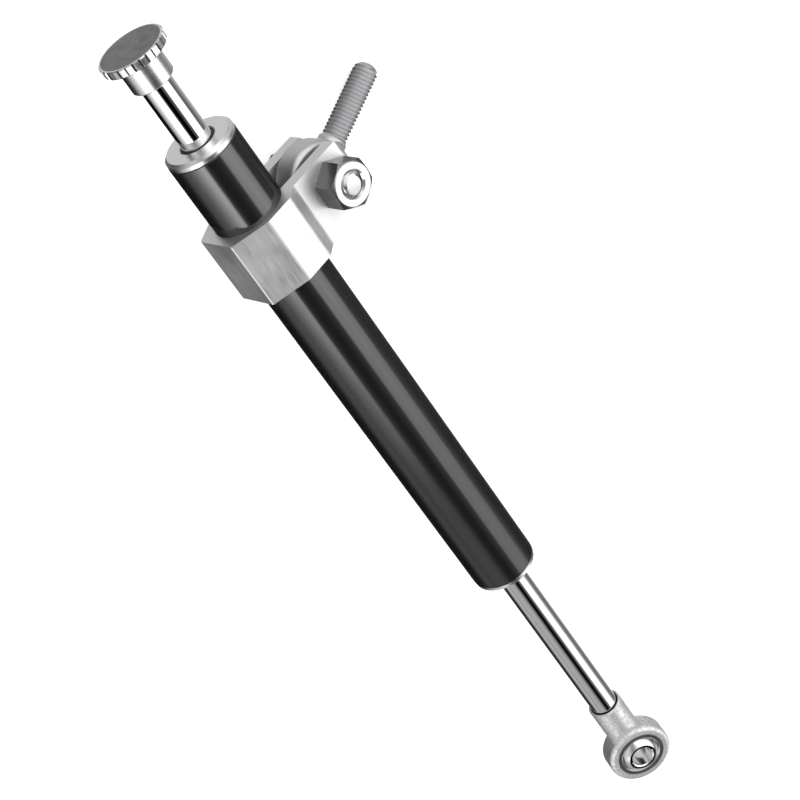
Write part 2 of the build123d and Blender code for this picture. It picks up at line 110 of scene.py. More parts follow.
class FinishSettings(bpy.types.PropertyGroup):
    tube_black: bpy.props.FloatVectorProperty(
        name="Black anodising", description="Sheen colour of the anodised tube",
        subtype="COLOR", default=(0.11, 0.11, 0.112))
    aluminium: bpy.props.FloatVectorProperty(
        name="Bare aluminium", description="Colour of the caps, collar and knob",
        subtype="COLOR", default=(0.86, 0.86, 0.865))
    chrome: bpy.props.FloatVectorProperty(
        name="Hard chrome", description="Colour of the ground and plated rod",
        subtype="COLOR", default=(0.93, 0.93, 0.935))
    zinc: bpy.props.FloatVectorProperty(
        name="Zinc plate", description="Colour of the rod ends",
        subtype="COLOR", default=(0.92, 0.92, 0.92))
    bolt_steel: bpy.props.FloatVectorProperty(
        name="Bolt steel", description="Colour of the machined ends of the bolt and nut",
        subtype="COLOR", default=(0.62, 0.62, 0.625))
    # The hexagons' sides get a darker colour that stands in for painted shade
    shaded_hexagon_sides: bpy.props.FloatVectorProperty(
        name="Hexagon sides", description="Colour of the hexagons' drawn sides",
        subtype="COLOR", default=(0.2, 0.2, 0.205))
    knob_face_grey: bpy.props.FloatVectorProperty(
        name="Knob face", description="Colour of the knob's dull face",
        subtype="COLOR", default=(0.30, 0.30, 0.30))


class ThreadSettings(bpy.types.PropertyGroup):
    pitch: bpy.props.FloatProperty(
        name="Pitch", description="Pitch of the M8 stud and of the M8 bolt",
        default=1.25 * MM, unit="LENGTH", precision=5)
    depth: bpy.props.FloatProperty(
        name="Depth", description="Depth of the M8 thread", default=0.75 * MM, unit="LENGTH",
        precision=5)
    hexagon_ring: bpy.props.FloatProperty(
        name="Hexagon's ring", description="Width of the chamfer inside the flats of a hexagon",
        default=0.45 * MM, unit="LENGTH", precision=5)
    bolt_end_round: bpy.props.FloatProperty(
        name="Bolt end's rounding", description="Radius of the rounding at the bolt's end",
        default=1.4 * MM, unit="LENGTH", precision=5)
    spring_turns: bpy.props.IntProperty(
        name="Spring turns", description="Turns of the detent spring", default=4)


# Shader node groups

class Nodes:
    """Short way to place and join nodes in one tree."""

    def __init__(self, tree):
        self.tree = tree
        self.column = 0

    def add(self, kind, inputs=None, **settings):
        node = self.tree.nodes.new(kind)
        node.location = (self.column * 180, 0)
        self.column += 1
        for name, value in settings.items():
            setattr(node, name, value)
        for name, value in (inputs or {}).items():
            socket = node.inputs[name]
            if isinstance(value, bpy.types.NodeSocket):
                self.tree.links.new(value, socket)
            else:
                socket.default_value = value
        return node

    def maths(self, operation, first, second=0.0, third=0.0):
        inputs = {0: first, 1: second, 2: third}
        return self.add("ShaderNodeMath", inputs, operation=operation).outputs[0]

    def spread(self, value, low, high, out_low, out_high):
        inputs = {"Value": value, "From Min": low, "From Max": high,
                  "To Min": out_low, "To Max": out_high}
        return self.add("ShaderNodeMapRange", inputs).outputs["Result"]

    def mix(self, share, first, second):
        """Blend of two colours: the first at a share of 0, the second at 1."""
        inputs = {0: share, 6: first, 7: second}
        return self.add("ShaderNodeMix", inputs, data_type="RGBA").outputs[2]

    def ramp(self, value, stops):
        node = self.add("ShaderNodeValToRGB", {"Fac": value})
        elements = node.color_ramp.elements
        while len(elements) < len(stops):
            elements.new(0.5)
        for element, (place, level) in zip(elements, stops):
            element.position = place
            element.color = (level, level, level, 1)
        return node.outputs["Color"]


def new_group(name, inputs, outputs):
    """Empty shader group with named sockets, its helper, and the values it is given."""
    group = bpy.data.node_groups.new(name, "ShaderNodeTree")
    for socket, kind, default in inputs:
        made = group.interface.new_socket(socket, in_out="INPUT", socket_type=kind)
        if default is not None:
            made.default_value = default
    for socket, kind in outputs:
        group.interface.new_socket(socket, in_out="OUTPUT", socket_type=kind)
    nodes = Nodes(group)
    return group, nodes, nodes.add("NodeGroupInput").outputs


def finish_group(nodes, results):
    nodes.add("NodeGroupOutput", results)


FLOAT = "NodeSocketFloat"
VECTOR = "NodeSocketVector"

# Rings on a face for each ring on a wall of the same length
RINGS_ON_FACES = 1.7
# Range of noise over which a surface goes from its low to its high value
GRAIN_SPAN = (0.3, 0.7)
SKIN_SPAN = (0.35, 0.65)
BLOTCH_SPAN = (0.36, 0.62)


def radius_from_x(nodes, where):
    """Station of a point along the X axis, and its distance from that axis."""
    split = nodes.add("ShaderNodeSeparateXYZ", {"Vector": where}).outputs
    across = nodes.maths("MULTIPLY", split["Y"], split["Y"])
    upright = nodes.maths("MULTIPLY_ADD", split["Z"], split["Z"], across)
    return split["X"], nodes.maths("SQRT", upright)


def turning_marks():
    """Fine lathe rings about the damper's axis, on round walls and on faces alike."""
    group, nodes, given = new_group(
        "Turning marks",
        [("Vector", VECTOR, None), ("Rings per metre", FLOAT, 4000.0)],
        [("Height", FLOAT), ("Tone", FLOAT)])
    station, radius = radius_from_x(nodes, given["Vector"])
    along = nodes.maths("MULTIPLY_ADD", radius, RINGS_ON_FACES, station)
    place = nodes.maths("MULTIPLY", along, given["Rings per metre"])
    rings = nodes.add("ShaderNodeTexNoise", {"W": place, "Scale": 1.0, "Detail": 3.0},
                      noise_dimensions="1D").outputs[0]
    patches = nodes.add("ShaderNodeTexNoise", {"Vector": given["Vector"], "Scale": 260.0}).outputs[0]
    tone = nodes.maths("MULTIPLY_ADD", rings, 0.6, nodes.maths("MULTIPLY", patches, 0.4))
    finish_group(nodes, {"Height": rings, "Tone": tone})
    return group


def brushed_grain():
    """Grain of a belt or a wheel: noise drawn out along the vector's X."""
    group, nodes, given = new_group(
        "Brushed grain",
        [("Vector", VECTOR, None), ("Fineness", FLOAT, 5000.0), ("Draw", FLOAT, 0.04)],
        [("Height", FLOAT), ("Tone", FLOAT)])
    split = nodes.add("ShaderNodeSeparateXYZ", {"Vector": given["Vector"]}).outputs
    drawn = nodes.maths("MULTIPLY", split["X"], given["Draw"])
    joined = nodes.add("ShaderNodeCombineXYZ", {"X": drawn, "Y": split["Y"], "Z": split["Z"]})
    grain = nodes.add("ShaderNodeTexNoise", {
        "Vector": joined.outputs[0], "Scale": given["Fineness"], "Detail": 4.0}).outputs[0]
    clouds = nodes.add("ShaderNodeTexNoise", {
        "Vector": given["Vector"], "Scale": 120.0, "Detail": 2.0}).outputs[0]
    tone = nodes.maths("MULTIPLY_ADD", grain, 0.75, nodes.maths("MULTIPLY", clouds, 0.25))
    finish_group(nodes, {"Height": grain, "Tone": tone})
    return group


def handling_marks():
    """Faint smudges and a few hairline scratches from handling."""
    group, nodes, given = new_group(
        "Handling marks",
        [("Vector", VECTOR, None), ("Size", FLOAT, 90.0)],
        [("Smudge", FLOAT), ("Scratch", FLOAT)])
    clouds = nodes.add("ShaderNodeTexNoise", {
        "Vector": given["Vector"], "Scale": given["Size"], "Detail": 5.0,
        "Distortion": 0.6}).outputs[0]
    smudge = nodes.spread(clouds, 0.42, 0.68, 0.0, 1.0)
    lines = nodes.add("ShaderNodeTexWave", {
        "Vector": given["Vector"], "Scale": 190.0, "Distortion": 24.0, "Detail": 2.0,
        "Detail Scale": 0.6}).outputs["Fac"]
    fine = nodes.spread(lines, 0.985, 1.0, 0.0, 1.0)
    broken = nodes.maths("MULTIPLY", fine, smudge)
    finish_group(nodes, {"Smudge": smudge, "Scratch": broken})
    return group


def cast_surface():
    """Blotched skin of a forged, barrelled and plated part."""
    group, nodes, given = new_group(
        "Cast surface",
        [("Vector", VECTOR, None), ("Grain", FLOAT, 900.0)],
        [("Height", FLOAT), ("Tone", FLOAT)])
    blotches = nodes.add("ShaderNodeTexNoise", {
        "Vector": given["Vector"], "Scale": given["Grain"], "Detail": 4.0,
        "Roughness": 0.65}).outputs[0]
    pits = nodes.add("ShaderNodeTexVoronoi", {
        "Vector": given["Vector"], "Scale": 1400.0}).outputs["Distance"]
    height = nodes.maths("MULTIPLY_ADD", pits, 0.35, blotches)
    finish_group(nodes, {"Height": height, "Tone": blotches})
    return group


GROUPS = {}


def group_called(name):
    makers = {"Turning marks": turning_marks, "Brushed grain": brushed_grain,
              "Handling marks": handling_marks, "Cast surface": cast_surface}
    if name not in GROUPS:
        GROUPS[name] = makers[name]()
    return GROUPS[name]


# Materials. The two numbers of a pair of distances are the ends of a change of colour.

# Distances from the bolt's axis at which the painted shade on the sides of a hexagon begins
HEXAGON_SHADE_RADII = (6.75 * MM, 6.95 * MM)
# Painted shade in the seam where the rod enters the rod end: depths below its mouth, and distances from the rod
SEAM_DEPTHS = (0.5 * MM, 0.3 * MM)
SEAM_WIDTHS = (0.35 * MM, 0.65 * MM)
SEAM_SHADE = (0.04, 0.04, 0.04, 1)
# Knob: depths below its face, widths of the face's border, and depths in its flutes over which painted shade fades
# out
KNOB_FACE_DEPTHS = (0.12 * MM, 0.04 * MM)
KNOB_BORDER = (0.85 * MM, 0.75 * MM)
KNOB_FLUTE_DEPTHS = (0.4 * MM, 0.1 * MM)
# Colour of the painted shade in the knob's flutes
KNOB_FLUTE_SHADE = (0.2, 0.2, 0.2, 1)
# Colours of the clamp and of the pieces that hardly show
CLAMP_ALUMINIUM = (0.95, 0.95, 0.955)
BRONZE = (0.62, 0.43, 0.22)
BLACK_RUBBER = (0.018, 0.018, 0.019)
FILLED_PLASTIC = (0.42, 0.27, 0.14)
SPRING_STEEL = (0.5, 0.5, 0.51)
TURNED_STEEL = (0.6, 0.6, 0.61)
RACE_STEEL = (0.42, 0.42, 0.43)
BALL_STEEL = (0.88, 0.88, 0.89)


def new_material(name, **shader):
    """Material with its helper, its Object coordinates and its Principled shader."""
    material = bpy.data.materials.new(name)
    material.use_nodes = True
    tree = material.node_tree
    tree.nodes.clear()
    nodes = Nodes(tree)
    where = nodes.add("ShaderNodeTexCoord").outputs["Object"]
    principled = nodes.add("ShaderNodeBsdfPrincipled")
    for socket, value in shader.items():
        principled.inputs[socket.replace("_", " ")].default_value = value
    output = nodes.add("ShaderNodeOutputMaterial")
    tree.links.new(principled.outputs[0], output.inputs["Surface"])
    return material, nodes, where, principled


def centred(nodes, where, centre, x_axis=None):
    """Object coordinates moved to a centre, and turned so that X runs along an axis."""
    turn = (0.0, 0.0, 0.0)
    if x_axis is not None:
        turn = x_axis.to_track_quat("X", "Z").to_euler()
    mapping = nodes.add("ShaderNodeMapping", {"Vector": where}, vector_type="TEXTURE")
    mapping.inputs["Location"].default_value = centre
    mapping.inputs["Rotation"].default_value = turn
    return mapping.outputs["Vector"]


def placed(nodes, name, inputs):
    """Outputs of a shader group that is placed with these inputs."""
    return nodes.add("ShaderNodeGroup", inputs, node_tree=group_called(name)).outputs


def tinted(nodes, tone, colour, low, high):
    """Colour that runs from a darker to a lighter shade of itself as the tone rises."""
    stops = [tuple(min(1.0, channel * level) for channel in colour) + (1.0,)
             for level in (low, high)]
    return nodes.mix(tone, *stops)


def roughened(nodes, tone, low, high, wear, smudge, span=GRAIN_SPAN):
    """Roughness that runs from low to high with the tone, and rises where smudges lie."""
    clean = nodes.spread(tone, *span, low, high)
    return nodes.maths("MULTIPLY_ADD", wear["Smudge"], smudge, clean)


def bumped(nodes, height, strength, distance):
    node = nodes.add("ShaderNodeBump", {"Height": height, "Strength": strength,
                                        "Distance": distance})
    return node.outputs["Normal"]


def link(nodes, principled, **sockets):
    for name, value in sockets.items():
        nodes.tree.links.new(value, principled.inputs[name.replace("_", " ")])


def turned_metal(name, colour, roughness, rings=4000.0, depth=0.12, centre=(0, 0, 0),
                 x_axis=None, spread=0.08):
    """Bare metal turned in a lathe about an axis."""
    material, nodes, where, principled = new_material(name, Metallic=1.0)
    where = centred(nodes, where, centre, x_axis)
    marks = placed(nodes, "Turning marks", {"Vector": where, "Rings per metre": rings})
    wear = placed(nodes, "Handling marks", {"Vector": where})
    rough = roughened(nodes, marks["Tone"], roughness - spread / 2, roughness + spread / 2,
                      wear, 0.05)
    link(nodes, principled,
         Base_Color=tinted(nodes, marks["Tone"], colour, 0.93, 1.05),
         Roughness=rough,
         Normal=bumped(nodes, marks["Height"], depth, 0.02 * MM))
    return material


def brushed_metal(name, colour, roughness, fineness=5000.0, depth=0.15, low=0.9, high=1.06):
    """Flat-milled or wire-brushed metal, with its grain along the damper."""
    material, nodes, where, principled = new_material(name, Metallic=1.0)
    grain = placed(nodes, "Brushed grain", {"Vector": where, "Fineness": fineness})
    wear = placed(nodes, "Handling marks", {"Vector": where})
    rough = roughened(nodes, grain["Tone"], roughness - 0.07, roughness + 0.07, wear, 0.06)
    link(nodes, principled,
         Base_Color=tinted(nodes, grain["Tone"], colour, low, high),
         Roughness=rough,
         Normal=bumped(nodes, grain["Height"], depth, 0.03 * MM))
    return material


def hexagon_steel(settings, centre):
    """Bolt and nut: bright machined ends, and sides of the hexagon painted darker as shade."""
    material, nodes, where, principled = new_material("zinc_bolt", Metallic=1.0)
    where = centred(nodes, where, centre, BOLT_AXIS)
    grain = placed(nodes, "Brushed grain", {"Vector": where, "Fineness": 1800.0})
    wear = placed(nodes, "Handling marks", {"Vector": where})
    radius = radius_from_x(nodes, where)[1]
    # painted shade: the hexagon's sides take a darker copy of the same steel
    side = nodes.spread(radius, *HEXAGON_SHADE_RADII, 0.0, 1.0)
    ends = tinted(nodes, grain["Tone"], settings.bolt_steel, 0.9, 1.06)
    sides = tinted(nodes, grain["Tone"], settings.shaded_hexagon_sides, 0.75, 1.2)
    rough = roughened(nodes, grain["Tone"], 0.12, 0.22, wear, 0.06)
    link(nodes, principled,
         Base_Color=nodes.mix(side, ends, sides),
         Roughness=nodes.maths("MULTIPLY_ADD", side, 0.12, rough),
         Normal=bumped(nodes, grain["Height"], 0.08, 0.03 * MM))
    return material


def plated_casting(name, colour, roughness, grain=900.0, depth=0.3, low=0.72, seam=None):
    """Forged and zinc-plated steel with a blotched skin.

    A seam of (mouth, rod radius) paints shade on the line where the rod enters at the mouth.
    """
    material, nodes, where, principled = new_material(name, Metallic=1.0)
    skin = placed(nodes, "Cast surface", {"Vector": where, "Grain": grain})
    wear = placed(nodes, "Handling marks", {"Vector": where, "Size": 160.0})
    rough = roughened(nodes, skin["Tone"], roughness + 0.12, roughness - 0.08, wear, 0.05,
                      SKIN_SPAN)
    shade = nodes.spread(skin["Tone"], *BLOTCH_SPAN, 0.0, 1.0)
    base = tinted(nodes, shade, colour, low, 1.08)
    if seam is not None:
        mouth, rod_r = seam
        along, radius = radius_from_x(nodes, where)
        deep, shallow = SEAM_DEPTHS
        past = nodes.spread(along, mouth - deep, mouth - shallow, 0.0, 1.0)
        inner, outer = SEAM_WIDTHS
        near_rod = nodes.spread(radius, rod_r + inner, rod_r + outer, 1.0, 0.0)
        # painted shade: a near-black ring stands in for the shadowed gap between the rod and the rod end's mouth
        seam_shade = nodes.maths("MULTIPLY", past, near_rod)
        base = nodes.mix(seam_shade, base, SEAM_SHADE)
    link(nodes, principled,
         Base_Color=base,
         Roughness=rough,
         Normal=bumped(nodes, skin["Height"], depth, 0.06 * MM))
    return material


def black_anodised(settings):
    """Drawn tube, polished and anodised black, with fine marks along its length."""
    material, nodes, where, principled = new_material("black_anodised", Metallic=0.9)
    principled.inputs["Specular Tint"].default_value = (0.25, 0.25, 0.25, 1)
    grain = placed(nodes, "Brushed grain", {"Vector": where, "Fineness": 2600.0, "Draw": 0.02})
    wear = placed(nodes, "Handling marks", {"Vector": where, "Size": 45.0})
    rough = roughened(nodes, grain["Tone"], 0.06, 0.1, wear, 0.04)
    rough = nodes.maths("MULTIPLY_ADD", wear["Scratch"], 0.1, rough)
    link(nodes, principled,
         Base_Color=tinted(nodes, grain["Tone"], settings.tube_black, 0.86, 1.14),
         Roughness=rough,
         Normal=bumped(nodes, grain["Height"], 0.03, 0.004 * MM))
    return material


def hard_chrome(settings):
    """Ground and hard-chromed rod: nearly a mirror, with the faintest grinding rings."""
    material, nodes, where, principled = new_material("hard_chrome", Metallic=1.0)
    marks = placed(nodes, "Turning marks", {"Vector": where, "Rings per metre": 9000.0})
    wear = placed(nodes, "Handling marks", {"Vector": where, "Size": 120.0})
    rough = roughened(nodes, marks["Tone"], 0.02, 0.035, wear, 0.02)
    link(nodes, principled,
         Base_Color=tinted(nodes, marks["Tone"], settings.chrome, 0.97, 1.02),
         Roughness=rough,
         Normal=bumped(nodes, marks["Height"], 0.01, 0.001 * MM))
    return material


def knob_aluminium(settings):
    """Knob: bright rim with painted shade in its flutes, and a dull face inside a thin bright border."""
    material, nodes, where, principled = new_material("knob_aluminium", Metallic=1.0)
    marks = placed(nodes, "Turning marks", {"Vector": where, "Rings per metre": 3000.0})
    wear = placed(nodes, "Handling marks", {"Vector": where, "Size": 200.0})
    clouds = nodes.add("ShaderNodeTexNoise", {
        "Vector": where, "Scale": 240.0, "Detail": 3.0, "Distortion": 1.2}).outputs[0]
    along, radius = radius_from_x(nodes, where)
    rim_r = (KNOB_HIGH.y - KNOB_LOW.y) / 2
    below, near = KNOB_FACE_DEPTHS
    on_face = nodes.spread(along, KNOB_HIGH.x - below, KNOB_HIGH.x - near, 0.0, 1.0)
    inner, outer = KNOB_BORDER
    inside = nodes.spread(radius, rim_r - inner, rim_r - outer, 1.0, 0.0)
    face = nodes.maths("MULTIPLY", on_face, inside)
    # painted shade in the flutes: below the crests the metal turns to a shade colour
    flute_foot, flute_crest = KNOB_FLUTE_DEPTHS
    crest = nodes.spread(radius, rim_r - flute_foot, rim_r - flute_crest, 0.0, 1.0)
    crest = nodes.maths("MAXIMUM", crest, on_face)
    metal = tinted(nodes, marks["Tone"], settings.aluminium, 0.93, 1.05)
    bright = nodes.mix(crest, KNOB_FLUTE_SHADE, metal)
    dull = tinted(nodes, nodes.spread(clouds, *SKIN_SPAN, 0.0, 1.0),
                  settings.knob_face_grey, 0.86, 1.1)
    rough = roughened(nodes, marks["Tone"], 0.22, 0.32, wear, 0.06)
    link(nodes, principled,
         Base_Color=nodes.mix(face, bright, dull),
         Roughness=nodes.maths("MULTIPLY_ADD", face, 0.25, rough),
         Normal=bumped(nodes, marks["Height"], 0.12, 0.02 * MM))
    return material


def soft_compound(name, colour, roughness, grain, low=0.7, high=1.5):
    """Moulded rubber, or filled plastic, with a fine matt grain."""
    material, nodes, where, principled = new_material(name, Metallic=0.0)
    skin = placed(nodes, "Cast surface", {"Vector": where, "Grain": grain})
    shade = nodes.spread(skin["Tone"], *SKIN_SPAN, 0.0, 1.0)
    link(nodes, principled,
         Base_Color=tinted(nodes, shade, colour, low, high),
         Roughness=nodes.spread(skin["Tone"], *SKIN_SPAN, roughness + 0.08, roughness - 0.08),
         Normal=bumped(nodes, skin["Height"], 0.2, 0.03 * MM))
    return material


# Building blocks of the new pieces

MERGE_DISTANCE = 0.001 * MM
# Distances under which a cut snaps to a vertex, and an edge counts as no edge
CUT_DISTANCE = 0.0001 * MM
SHORTEST_EDGE = 0.002 * MM
FLAT_ANGLE = math.radians(0.4)
# Shares of the pitch: where a thread's crest starts and ends, and what merges its turns
CREST_START_SHARE = 0.44
CREST_END_SHARE = 0.56
TURN_MERGE_SHARE = 0.005
THREAD_STEPS = 36
# Turns that a thread is drawn before its start, and then cut away
LEAD_TURNS = 2
CHAMFER_STEPS = 60
CHAMFER_SLOPE = math.radians(30)
BAR_SUNK_IN = 0.2 * MM


def mesh_object(name, bm, material, smooth_angle=None):
    """Closes off a bmesh as an object at the origin, with its normals facing outwards."""
    bmesh.ops.remove_doubles(bm, verts=bm.verts, dist=MERGE_DISTANCE)
    bmesh.ops.recalc_face_normals(bm, faces=bm.faces)
    for face in bm.faces:
        face.smooth = smooth_angle is not None
    if smooth_angle is not None:
        for edge in bm.edges:
            edge.smooth = len(edge.link_faces) == 2 and edge.calc_face_angle(0) < smooth_angle
    mesh = bpy.data.meshes.new(name)
    bm.to_mesh(mesh)
    bm.free()
    mesh.materials.append(material)
    piece = bpy.data.objects.new(name, mesh)
    bpy.context.scene.collection.objects.link(piece)
    return piece


def thread_outline(crest_r, root_r, pitch, first_turn, turns):
    """Points (along, radius) of a V thread with a flat crest, from one root to another."""
    points = []
    for turn in range(first_turn, first_turn + turns):
        start = turn * pitch
        points += [(start, root_r), (start + CREST_START_SHARE * pitch, crest_r),
                   (start + CREST_END_SHARE * pitch, crest_r)]
    points.append(((first_turn + turns) * pitch, root_r))
    return points


def add_helix(bm, outline, pitch):
    """Spins an outline round X once while it moves on by a pitch, which makes a helix."""
    verts = [bm.verts.new((along, 0.0, radius)) for along, radius in outline]
    edges = [bm.edges.new(pair) for pair in zip(verts, verts[1:])]
    bmesh.ops.spin(
        bm, geom=verts + edges, cent=(0, 0, 0), axis=(1, 0, 0), dvec=(pitch / THREAD_STEPS, 0, 0),
        angle=2 * math.pi, steps=THREAD_STEPS, use_merge=False)
    bmesh.ops.remove_doubles(bm, verts=bm.verts, dist=TURN_MERGE_SHARE * pitch)


def threaded_bar(crest_r, root_r, pitch, length, tip_r):
    """Bar along X with a real helical thread, whose far end is rounded over."""
    bm = bmesh.new()
    turns = math.ceil(length / pitch) + LEAD_TURNS + 1
    add_helix(bm, thread_outline(crest_r, root_r, pitch, -LEAD_TURNS, turns), pitch)
    cut_away(bm, Vector((0, 0, 0)), Vector((-1, 0, 0)))
    cut_away(bm, Vector((length, 0, 0)), Vector((1, 0, 0)))
    for vert in bm.verts:
        past = vert.co.x - (length - tip_r)
        radius = math.hypot(vert.co.y, vert.co.z)
        if past > 0.0 and radius > 0.0:
            limit = crest_r - tip_r + math.sqrt(max(0.0, tip_r**2 - past**2))
            if radius > limit:
                vert.co.y *= limit / radius
                vert.co.z *= limit / radius
    return bm


def along_axis(start, axis):
    """Matrix that lays a piece drawn along X at a place, along an axis."""
    return Matrix.Translation(start) @ axis.to_track_quat("X", "Z").to_matrix().to_4x4()


def node_copy(node):
    """Bmesh of a CAD node, with its loose triangles merged."""
    bm = bmesh.new()
    bm.from_mesh(NODES[node].data)
    bmesh.ops.remove_doubles(bm, verts=bm.verts, dist=MERGE_DISTANCE)
    return bm


def joined(first, second):
    """Adds the second bmesh's faces to the first."""
    shell = bpy.data.meshes.new("join")
    second.to_mesh(shell)
    second.free()
    first.from_mesh(shell)
    bpy.data.meshes.remove(shell)
    return first


def with_thread(node, origin, axis, start, end, crest_r, settings, tip_r):
    """Copy of a CAD node whose shank becomes a threaded bar from one station to another."""
    bm = node_copy(node)
    cut_away(bm, origin + axis * start, axis)
    bar = threaded_bar(crest_r, crest_r - settings.depth, settings.pitch,
                       end - start + BAR_SUNK_IN, tip_r)
    bmesh.ops.transform(bar, verts=bar.verts,
                        matrix=along_axis(origin + axis * (start - BAR_SUNK_IN), axis))
    return joined(bm, bar)


def stations(node, origin, axis):
    """Lowest and highest station of a CAD node along an axis."""
    along = [(vert.co - origin).dot(axis) for vert in NODES[node].data.vertices]
    return min(along), max(along)


def cut_away(bm, place, outwards):
    """Cuts a solid at a plane, drops what lies outwards of it, and closes the cut."""
    geometry = list(bm.verts) + list(bm.edges) + list(bm.faces)
    cut = bmesh.ops.bisect_plane(bm, geom=geometry, plane_co=place, plane_no=outwards,
                                 clear_outer=True, dist=CUT_DISTANCE)
    rim = [e for e in cut["geom_cut"] if isinstance(e, bmesh.types.BMEdge)]
    bmesh.ops.holes_fill(bm, edges=rim, sides=0)


def chamfer_ring(bm, origin, axis, station, side, radius):
    """Cuts the 30 degree cone of a turned hexagon as a ring of small flats."""
    across = axis.orthogonal().normalized()
    for step in range(CHAMFER_STEPS):
        radial = Matrix.Rotation(2 * math.pi * step / CHAMFER_STEPS, 3, axis) @ across
        cut_away(bm, origin + axis * station + radial * radius,
                 radial * math.sin(CHAMFER_SLOPE) + axis * side * math.cos(CHAMFER_SLOPE))
    bmesh.ops.dissolve_degenerate(bm, edges=bm.edges, dist=SHORTEST_EDGE)
    bmesh.ops.dissolve_limit(bm, angle_limit=FLAT_ANGLE, verts=bm.verts, edges=bm.edges)


def finish_piece(piece, node, body):
    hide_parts(node)
    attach(piece, body)


# Operators, one for each piece or group of like pieces

class DAMPER_OT_metal_nodes(bpy.types.Operator):
    """Gives every CAD node its procedural material"""
    bl_idname = "damper.metal_nodes"
    bl_label = "Finish the CAD nodes"

    def execute(self, context):
        settings = context.scene.damper_finish
        aluminium = tuple(settings.aluminium)
        zinc = tuple(settings.zinc)
        stud_centre = tuple(STUD_PIVOT)
        black = black_anodised(settings)
        caps = turned_metal("silver_aluminium", aluminium, 0.28)
        chrome = hard_chrome(settings)
        knob = knob_aluminium(settings)
        clamp = brushed_metal("brushed_clamp", CLAMP_ALUMINIUM, 0.47, fineness=3200.0,
                              depth=0.3, low=0.76, high=1.05)
        bronze = turned_metal("bronze", BRONZE, 0.38, rings=2500.0)
        rubber = soft_compound("seal_rubber", BLACK_RUBBER, 0.6, 1500.0)
        slide_ring = soft_compound("ring_plastic", FILLED_PLASTIC, 0.45, 1100.0, 0.85, 1.15)
        spring = brushed_metal("spring_steel", SPRING_STEEL, 0.3)
        steel = turned_metal("plain_steel", TURNED_STEEL, 0.3)
        casting = plated_casting("zinc_steel", zinc, 0.33, depth=0.2, low=0.8)
        # the rod end's material carries painted shade at the seam round the rod
        eye_casting = plated_casting("zinc_steel_eye", zinc, 0.52, 800.0,
                                     seam=(EYE_HIGH.x, (ROD_HIGH.z - ROD_LOW.z) / 2))
        bolt_steel = hexagon_steel(settings, stud_centre)
        bore_axis = Vector((0, 0, 1))
        race = turned_metal("race_steel", RACE_STEEL, 0.34, x_axis=bore_axis)
        stud_race = turned_metal("race_steel_stud", RACE_STEEL, 0.34, centre=stud_centre,
                                 x_axis=BOLT_AXIS)
        ball = turned_metal("polished_ball", BALL_STEEL, 0.1, 6000.0, 0.04,
                            x_axis=bore_axis, spread=0.03)
        stud_ball = turned_metal("polished_ball_stud", BALL_STEEL, 0.1, 6000.0, 0.04,
                                 stud_centre, BOLT_AXIS, 0.03)
        finishes = {
            "damper_tube": black,
            "bottom_end_cap": caps, "top_end_cap": caps, "piston": caps, "adjuster_collar": caps,
            "piston_rod": chrome,
            "adjuster_knob": knob,
            "clamp_body": clamp,
            "bottom_rod_bush": bronze, "top_rod_bush": bronze,
            "bottom_rod_seal": rubber, "top_rod_seal": rubber, "bottom_wiper": rubber,
            "top_wiper": rubber, "bottom_cap_o_ring": rubber, "top_cap_o_ring": rubber,
            "needle_o_ring": rubber,
            "piston_ring": slide_ring,
            "piston_clips": spring, "detent_ball": spring, "detent_spring": spring,
            "metering_needle": steel, "adjuster_screw": steel,
            "rod_end_housing": eye_casting, "stud_end_housing": casting,
            "clamp_bolt": bolt_steel, "clamp_nut": bolt_steel,
            "rod_end_race": race, "stud_end_race": stud_race,
            "rod_end_ball": ball, "stud_end_ball": stud_ball,
        }
        missing = sorted(set(NODES) - set(finishes))
        if missing:
            raise RuntimeError(f"no finish for {missing}")
        for node, material in finishes.items():
            mesh = NODES[node].data
            mesh.materials.clear()
            mesh.materials.append(material)
        return {"FINISHED"}


class DAMPER_OT_threaded_stud(bpy.types.Operator):
    """Makes the male rod end, with a real M8 thread on its stud"""
    bl_idname = "damper.threaded_stud"
    bl_label = "Threaded stud"

    # Where the thread starts, from the ball's centre, and the rounding of its far end
    neck_reach = 13.4 * MM
    tip_r = 3.0 * MM
    smooth_angle = math.radians(32)

    def execute(self, context):
        settings = context.scene.damper_threads
        reach = stations("stud_end_housing", STUD_PIVOT, STUD_AXIS)[1]
        bm = with_thread("stud_end_housing", STUD_PIVOT, STUD_AXIS, self.neck_reach, reach,
                         THREAD_R, settings, self.tip_r)
        piece = mesh_object("threaded_stud", bm, bpy.data.materials["zinc_steel"],
                            self.smooth_angle)
        finish_piece(piece, "stud_end_housing", "frame_stud")
        return {"FINISHED"}


